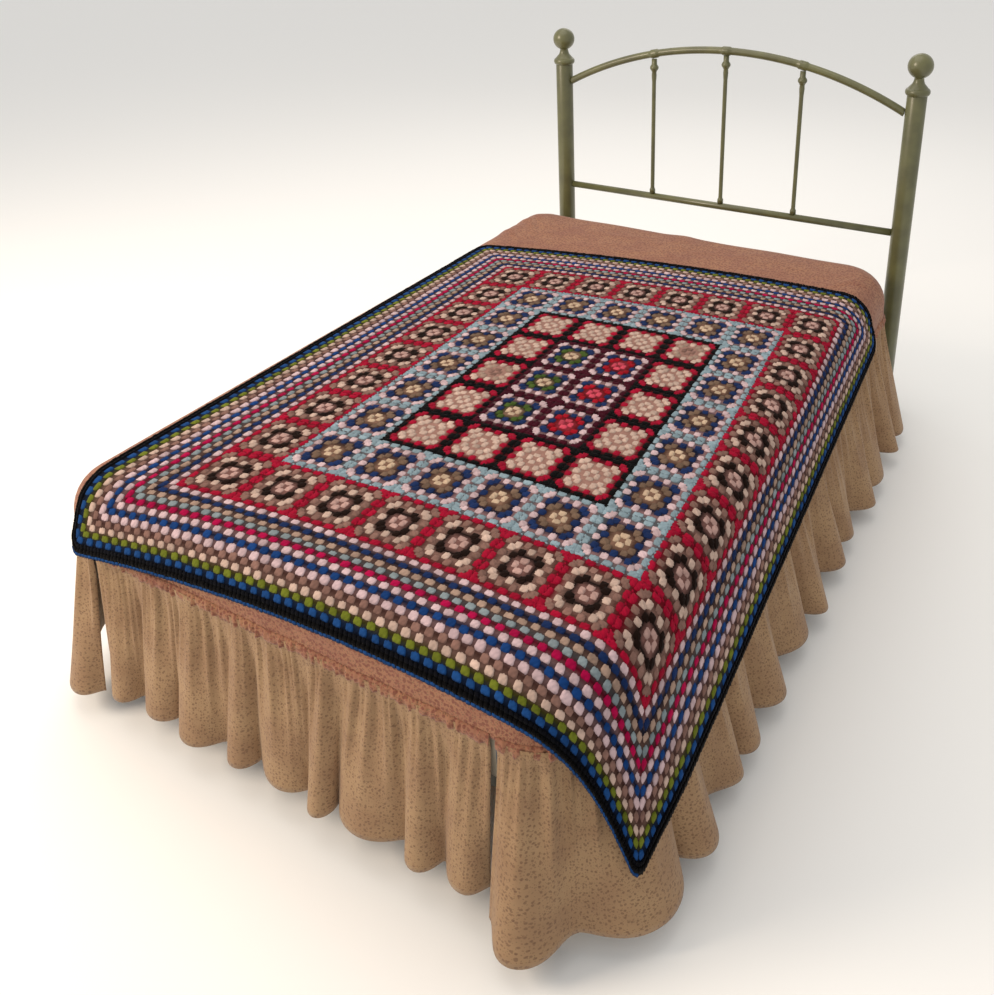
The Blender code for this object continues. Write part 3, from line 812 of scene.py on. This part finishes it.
spread = cloth_grid("spread_cover", 1000, 26, spread_place, closed=True)
give_thickness(spread, 0.0018)
finish_piece(spread, spread_cotton)
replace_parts(spread, "spread")

# %% [markdown]
# ## The frill
#
# Each frill is a strip about a third longer than its seam, gathered into it. Right below the seam it is
# crowded with fine tucks. They join lower down into broad round folds that stand out more and more, each of
# its own width, as a table gives. The strip also swings sideways from fold to fold, so the folds lean.

# %% Gather the frills
FOLD_WIDTHS = (0.95, 0.78, 1.28, 0.85, 1.20, 0.68, 1.34, 0.98, 1.10, 0.84)
FOLD_DEPTHS = (0.85, 1.05, 0.95, 1.12, 0.80, 1.00, 1.15, 0.88, 1.04, 0.92)
FOLD_SKEWS = (0.80, 1.30, 1.05, 0.72, 1.18, 0.90, 1.42)     # which way each fold leans
SPLIT = 0.012                        # the foot frill stops this far short of each corner's end
FRILL_STEP, FRILL_ROWS = 0.0036, 30
HEAD_WRAP = radians(36)
FRILLS = (
    # name, folds, hem height, lean at the hem, fold depth at the hem
    ("right", 14, 0.050, 0.050, 0.052),
    ("foot", 9, 0.085, 0.024, 0.038),
    ("left", 14, 0.060, 0.040, 0.040),
)


def seam_path(kind):
    """Where a frill's seam begins and ends along the bed's outline, going from its head to its foot."""
    lengths = [part[0] for part in PARTS]
    if kind == "foot":
        return lengths[0] + SPLIT, lengths[0] + lengths[1] - SPLIT
    if kind == "left":
        begin = sum(lengths[:4]) + CORNER["head_left"] * HEAD_WRAP
        return begin, lengths[0] + lengths[1]
    return sum(lengths[:7]) - AROUND - CORNER["head_right"] * HEAD_WRAP, lengths[0]


def pleats(at, waves, seed):
    """Sharp-crested waves between -1 and 1: cloth that is pushed together makes ridges, not sines."""
    drawn = np.random.default_rng(seed)
    total = np.zeros(len(at))
    for wave in waves:
        total += 1 - 2 * np.abs(np.sin(at * wave * pi + drawn.uniform(0, pi) + np.sin(at * 5 + wave))) ** 0.6
    return total / len(waves)


def frill_place(kind, folds, hem, lean, depth):
    begin, end = seam_path(kind)
    widths = np.resize(FOLD_WIDTHS, folds)
    edges = np.concatenate([[0], np.cumsum(widths)]) / widths.sum()
    seed = {"right": 71, "foot": 72, "left": 73}[kind]

    def place(share_s, drop):
        length = abs(end - begin)
        fold = np.clip(np.searchsorted(edges, share_s, side="right") - 1, 0, folds - 1)
        within = (share_s - edges[fold]) / (edges[fold + 1] - edges[fold])
        deep = np.resize(FOLD_DEPTHS, folds)[fold]
        skewed = within ** np.resize(FOLD_SKEWS, folds)[fold]
        crest = (0.5 - 0.5 * np.cos(2 * pi * skewed)) ** 0.72
        s_m = share_s * length
        tucks = pleats(s_m, (48, 67, 83), seed) * 0.0062 * np.exp(-(drop / 0.34) ** 2)
        middling = pleats(s_m, (15, 22, 29), seed + 10) * 0.0105 * np.exp(-((drop - 0.30) / 0.34) ** 2)
        swing = -np.sin(2 * pi * skewed) * 0.0085 * drop * deep
        swing += ripple(s_m, (2.3, 3.9), seed + 20) * 0.020 * drop
        taper = np.minimum(1, np.minimum(share_s, 1 - share_s) * length / 0.05)
        s = begin + (end - begin) * share_s + np.sign(end - begin) * swing * taper
        point, way = outline_at(s)
        out = 0.0050 + lean * drop + deep * crest * (0.003 + (depth - 0.003) * drop ** 1.2)
        out = out + (tucks + middling) * np.clip(drop * 10, 0, 1)
        plan = point + way * np.maximum(out, 0.0030)[:, None]
        top = SEAM_Z + 0.0015
        hem_z = hem + 0.004 * (1 - crest) * drop + 0.004 * ripple(s_m, (1.3, 2.9), seed + 30)
        height = top - (top - hem_z) * drop
        cloth = np.stack([share_s * length * 1.35, drop * (top - hem) * 1.05], 1)
        return np.column_stack([plan, height]), cloth

    return place, abs(end - begin)


for kind, folds, hem, lean, depth in FRILLS:
    place_frill, length = frill_place(kind, folds, hem, lean, depth)
    frill = cloth_grid("gathered_frill_" + kind, round(length / FRILL_STEP), FRILL_ROWS, place_frill)
    give_thickness(frill, 0.0010, offset=0.0)
    finish_piece(frill, frill_cotton)
    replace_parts(frill, "frill_" + kind)

# %% [markdown]
# A narrow ruffle heads the frill: the spread's own cotton, folded over the seam and drawn up with it. It
# puckers at every gather.

# %% Ruffle the seam
RUFFLE_DEEP, RUFFLE_ABOVE, RUFFLE_STEP = 0.024, 0.009, 0.0030
for kind in ("right", "foot", "left"):
    begin, end = seam_path(kind)

    def heading_place(share_s, share_t):
        s = begin + (end - begin) * share_s
        point, way = outline_at(s)
        at = np.abs(end - begin) * share_s
        belly = np.sin(pi * share_t)
        out = side_out(s, RUFFLE_ABOVE) + 0.0003 + belly * (0.0042 + 0.0030 * pleats(at, (44, 61, 79), 90))
        out = out + share_t * 0.0050 * (1 + pleats(at, (37, 53), 91))
        height = SEAM_Z + RUFFLE_ABOVE - RUFFLE_DEEP * share_t + 0.0020 * share_t * ripple(at, (9, 23), 92)
        return np.column_stack([point + way * out[:, None], height]), np.stack([s, height], 1)

    piece = cloth_grid("seam_ruffle_" + kind, round(abs(end - begin) / RUFFLE_STEP), 6, heading_place)
    give_thickness(piece, 0.0010, offset=0.0)
    finish_piece(piece, spread_cotton)

# %% [markdown]
# ## The mattress
#
# Little of it shows: the head end, below the spread. It is covered in ticking, cotton woven with narrow
# stripes, and a tape binds its lower edge. The same outline gives its shape.

# %% Upholster the mattress
ticking, tree, shader = new_material("woven_ticking", linear("b9ae9a"), 0.85, Sheen_Weight=0.1)
at = add(tree, "ShaderNodeTexCoord").outputs["UV"]
stripes = add(tree, "ShaderNodeTexWave", {"Vector": at, "Scale": 1000 / 24 / (2 * pi) * 2},
              bands_direction="X")
thin = stretched(tree, stripes.outputs["Fac"], 0.80, 0.86)
tree.links.new(mixed(tree, thin, linear("b9ae9a"), linear("5f6b7a")), shader.inputs["Base Color"])
bump(tree, shader, noise(tree, at, WEAVE_MM), 0.0004, 0.6)
mattress_low, mattress_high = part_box("mattress")
INSET = mattress_low.x - (MIDDLE_X - HALF_W)
ROUND_UNDER = 0.025
UNDER_TO, LOWER_TO, SIDE_TO, UPPER_TO = 0.15, 0.35, 0.65, 0.85      # shares of the way up from underneath


def mattress_place(share_s, share_t):
    s = share_s * AROUND
    point, way = outline_at(s)
    under = np.clip(share_t / UNDER_TO, 0, 1)
    lower = np.clip((share_t - UNDER_TO) / (LOWER_TO - UNDER_TO), 0, 1) * pi / 2
    side = np.clip((share_t - LOWER_TO) / (SIDE_TO - LOWER_TO), 0, 1)
    upper = np.clip((share_t - SIDE_TO) / (UPPER_TO - SIDE_TO), 0, 1) * pi / 2
    inward = np.clip((share_t - UPPER_TO) / (1 - UPPER_TO), 0, 1)
    roll = ROLL - INSET
    low_z, high_z = mattress_low.z, mattress_high.z
    inset = INSET + ROUND_UNDER * (1 - np.sin(lower)) + roll * (1 - np.cos(upper))
    height = low_z + ROUND_UNDER * (1 - np.cos(lower)) + (high_z - roll - low_z - ROUND_UNDER) * side
    height = height + roll * np.sin(upper)
    swell = 0.0015 * np.sin(pi * side) * (1 + ripple(s, (5, 9), 8))
    tape = 0.0018 * np.exp(-((height - low_z - ROUND_UNDER - 0.004) / 0.004) ** 2)
    plan = point - way * (inset - swell - tape)[:, None]
    gather = np.where(share_t < UNDER_TO, 1 - under, inward)
    plan = BED_MIDDLE + (plan - BED_MIDDLE) * (1 - gather)[:, None]
    return np.column_stack([plan, height]), np.stack([s, height], 1)


mattress = cloth_grid("mattress_body", 260, 40, mattress_place, closed=True)
finish_piece(mattress, ticking)
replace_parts(mattress, "mattress")

# %% [markdown]
# ## The headboard
#
# It is steel tube, enamelled sage green: two posts with a collar, a neck and a ball, an arched top rail, and
# three thin rods with beads. Enamel is a hard glossy paint. Its tone and gloss are a little patchy, and it
# has small chips. Round pieces are spun from a profile, as a lathe would turn them.

# %% Enamel
enamel, tree, shader = new_material("sage_green_enamel", linear("5c5c3c"), 0.34, Coat_Weight=0.25,
                                    Coat_Roughness=0.2, IOR=1.5)
place = add(tree, "ShaderNodeTexCoord").outputs["Object"]
patchy = noise(tree, place, 60, 4.0)
coat = mixed(tree, stretched(tree, patchy, 0.35, 0.65), linear("63633f"), linear("545436"))
chips = stretched(tree, noise(tree, place, 7, 5.0), 0.70, 0.74)
tree.links.new(mixed(tree, chips, coat, linear("4a4030")), shader.inputs["Base Color"])
tree.links.new(stretched(tree, patchy, 0, 1, 0.26, 0.46), shader.inputs["Roughness"])
orange_peel = noise(tree, place, 9)
bump(tree, shader, orange_peel, 0.0005, 0.35)
print("enamel ready")


# %% Spin the posts
def spun(name, x, y, profile, steps=48):
    """A turned piece: (radius, height) points from bottom to top, the first and last on the axis."""
    work = bmesh.new()
    verts = [work.verts.new((radius, 0, height)) for radius, height in profile]
    edges = [work.edges.new(pair) for pair in zip(verts, verts[1:])]
    bmesh.ops.spin(work, geom=verts + edges, cent=(0, 0, 0), axis=(0, 0, 1), angle=2 * pi, steps=steps,
                   use_merge=True, use_duplicate=False)
    bmesh.ops.remove_doubles(work, verts=work.verts, dist=1e-5)
    bmesh.ops.recalc_face_normals(work, faces=work.faces)
    bmesh.ops.translate(work, verts=work.verts, vec=(x, y, 0))
    return finish_piece(from_bmesh(name, work), enamel)


def arc(radius, middle, start, stop, count):
    """Profile points of an arc, with angles in degrees up from straight down."""
    turns = np.radians(np.linspace(start, stop, count))
    return [(radius * sin(t), middle - radius * cos(t)) for t in turns]


POST_R, NECK_R = 0.028, 0.0135
NECK_FLARE = ((0.0265, 0.027), (0.0225, 0.0225), (0.0175, 0.017), (0.0148, 0.010), (0.0136, 0.004))
for side in ("left", "right"):
    low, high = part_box("post_" + side)
    ball_r = (high.x - low.x) / 2
    ball_z = high.z - ball_r
    foot_of_ball = ball_z - ball_r * cos(asin(NECK_R / ball_r))
    profile = [(0, low.z), (POST_R - 0.002, low.z), (POST_R, low.z + 0.002)]
    profile += [(POST_R, foot_of_ball - 0.052), (POST_R - 0.0008, foot_of_ball - 0.0505)]
    profile += [(POST_R + 0.0006 + 0.0062 * sin(t), foot_of_ball - 0.0400 - 0.0095 * cos(t))
                for t in np.linspace(0.1, pi - 0.1, 9)]
    profile += [(radius, foot_of_ball - below) for radius, below in NECK_FLARE]
    profile += arc(ball_r, ball_z, np.degrees(asin(NECK_R / ball_r)), 180, 20)
    profile[-1] = (0, high.z)
    post = spun("turned_post_" + side, (low.x + high.x) / 2, (low.y + high.y) / 2, profile)
    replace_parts(post, "post_" + side)

# %% [markdown]
# The top rail is an arc of a circle. A ring of points is spun about the circle's centre to make it. The rods
# join it through short sleeves, so its rings are swollen there.

# %% Bend the top rail
rail_low, rail_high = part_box("arch_rail")
middle_x = (rail_low.x + rail_high.x) / 2
rail_y = (rail_low.y + rail_high.y) / 2
half = (rail_high.x - rail_low.x) / 2
RAIL_R = 0.0115
SLEEVE = 0.0025
RISE = 0.138                                 # of the arc's middle over its ends
SLEEVE_HALF = 0.0135                         # half a sleeve's length along the rail
crest = rail_high.z - RAIL_R - SLEEVE
bend_r = (half ** 2 + RISE ** 2) / (2 * RISE)
swing = asin(half / bend_r)
rods = [(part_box(f"spindle_{i}")[0].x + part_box(f"spindle_{i}")[1].x) / 2 for i in (1, 2, 3)]
work = bmesh.new()
upright = Matrix.Translation((middle_x, rail_y, crest)) @ Matrix.Rotation(pi / 2, 4, "Y")
ring = bmesh.ops.create_circle(work, segments=24, radius=RAIL_R, matrix=upright)
centre = (middle_x, rail_y, crest - bend_r)
bmesh.ops.rotate(work, verts=ring["verts"], cent=centre, matrix=Matrix.Rotation(-swing, 3, "Y"))
bmesh.ops.spin(work, geom=work.verts[:] + work.edges[:], cent=centre, axis=(0, 1, 0), angle=2 * swing,
               steps=220, use_duplicate=False)
bmesh.ops.holes_fill(work, edges=[e for e in work.edges if e.is_boundary], sides=0)
for vert in work.verts:
    turned = atan((vert.co.x - middle_x) / (vert.co.z - crest + bend_r))
    axis = Vector((middle_x + bend_r * sin(turned), rail_y, crest - bend_r + bend_r * cos(turned)))
    near = min(abs(axis.x - rod) for rod in rods)
    swell = SLEEVE * min(1.0, max(0.0, (SLEEVE_HALF - near) / 0.0018))
    vert.co = axis + (vert.co - axis) * (1 + swell / RAIL_R)
    vert.co.x = min(max(vert.co.x, rail_low.x + 1e-5), rail_high.x - 1e-5)
bmesh.ops.recalc_face_normals(work, faces=work.faces)
arch = finish_piece(from_bmesh("bent_top_rail", work), enamel)
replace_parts(arch, "arch_rail")

# %% Turn the rods and lay the straight rails
for number in (1, 2, 3):
    low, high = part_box(f"spindle_{number}")
    bead_r, rod_r = (high.x - low.x) / 2, 0.0065
    bead = high.z - 0.028
    profile = [(0, low.z), (rod_r + 0.003, low.z), (rod_r + 0.003, low.z + 0.012),
               (rod_r + 0.001, low.z + 0.016), (rod_r, low.z + 0.020)]
    profile += [(rod_r, bead - 0.046), (rod_r + 0.0010, bead - 0.034), (rod_r + 0.0016, bead - 0.024),
                (rod_r + 0.0008, bead - 0.014), (0.0095, bead - 0.0098)]
    profile += [(bead_r * sin(t), bead - 0.0118 * cos(t)) for t in np.linspace(0.85, pi - 0.85, 11)]
    profile += [(0.0092, bead + 0.0100), (0.0086, bead + 0.0125), (0.0085, high.z), (0, high.z)]
    rod = spun(f"beaded_rod_{number}", (low.x + high.x) / 2, (low.y + high.y) / 2, profile, 28)
    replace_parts(rod, f"spindle_{number}")

for node, name in (("lower_rail", "straight_lower_rail"), ("head_cross_rail", "straight_cross_rail")):
    low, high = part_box(node)
    work = bmesh.new()
    stand = Matrix.Translation((low + high) / 2) @ Matrix.Rotation(pi / 2, 4, "Y")
    radius = (high.z - low.z) / 2
    bmesh.ops.create_cone(work, cap_ends=True, segments=28, radius1=radius, radius2=radius,
                          depth=high.x - low.x, matrix=stand)
    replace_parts(finish_piece(from_bmesh(name, work), enamel), node)

# %% [markdown]
# The side rails, foot rail and legs are hidden behind the frill and plain, so the CAD's own solids stay. They
# get the enamel. The deck gets planed pine, whose grain runs along the bed.

# %% Finish the hidden frame
pine, tree, shader = new_material("planed_pine", linear("b08a5c"), 0.6)
place = add(tree, "ShaderNodeTexCoord").outputs["Object"]
stretch = add(tree, "ShaderNodeMapping", {"Vector": place, "Scale": (1.0, 0.06, 1.0)})
grain = noise(tree, stretch.outputs["Vector"], 9, 5.0)
wood = mixed(tree, stretched(tree, grain, 0.35, 0.65), linear("b48f61"), linear("8f6a40"))
tree.links.new(wood, shader.inputs["Base Color"])
bump(tree, shader, grain, 0.0004, 0.4)

for node in ("side_rail_left", "side_rail_right", "foot_rail", "foot_leg_left", "foot_leg_right", "bed_deck"):
    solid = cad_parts[node]
    finish = pine if node == "bed_deck" else enamel
    if not solid.material_slots:
        solid.data.materials.append(finish)
    for slot in solid.material_slots:
        slot.material = finish
print("frame finished")
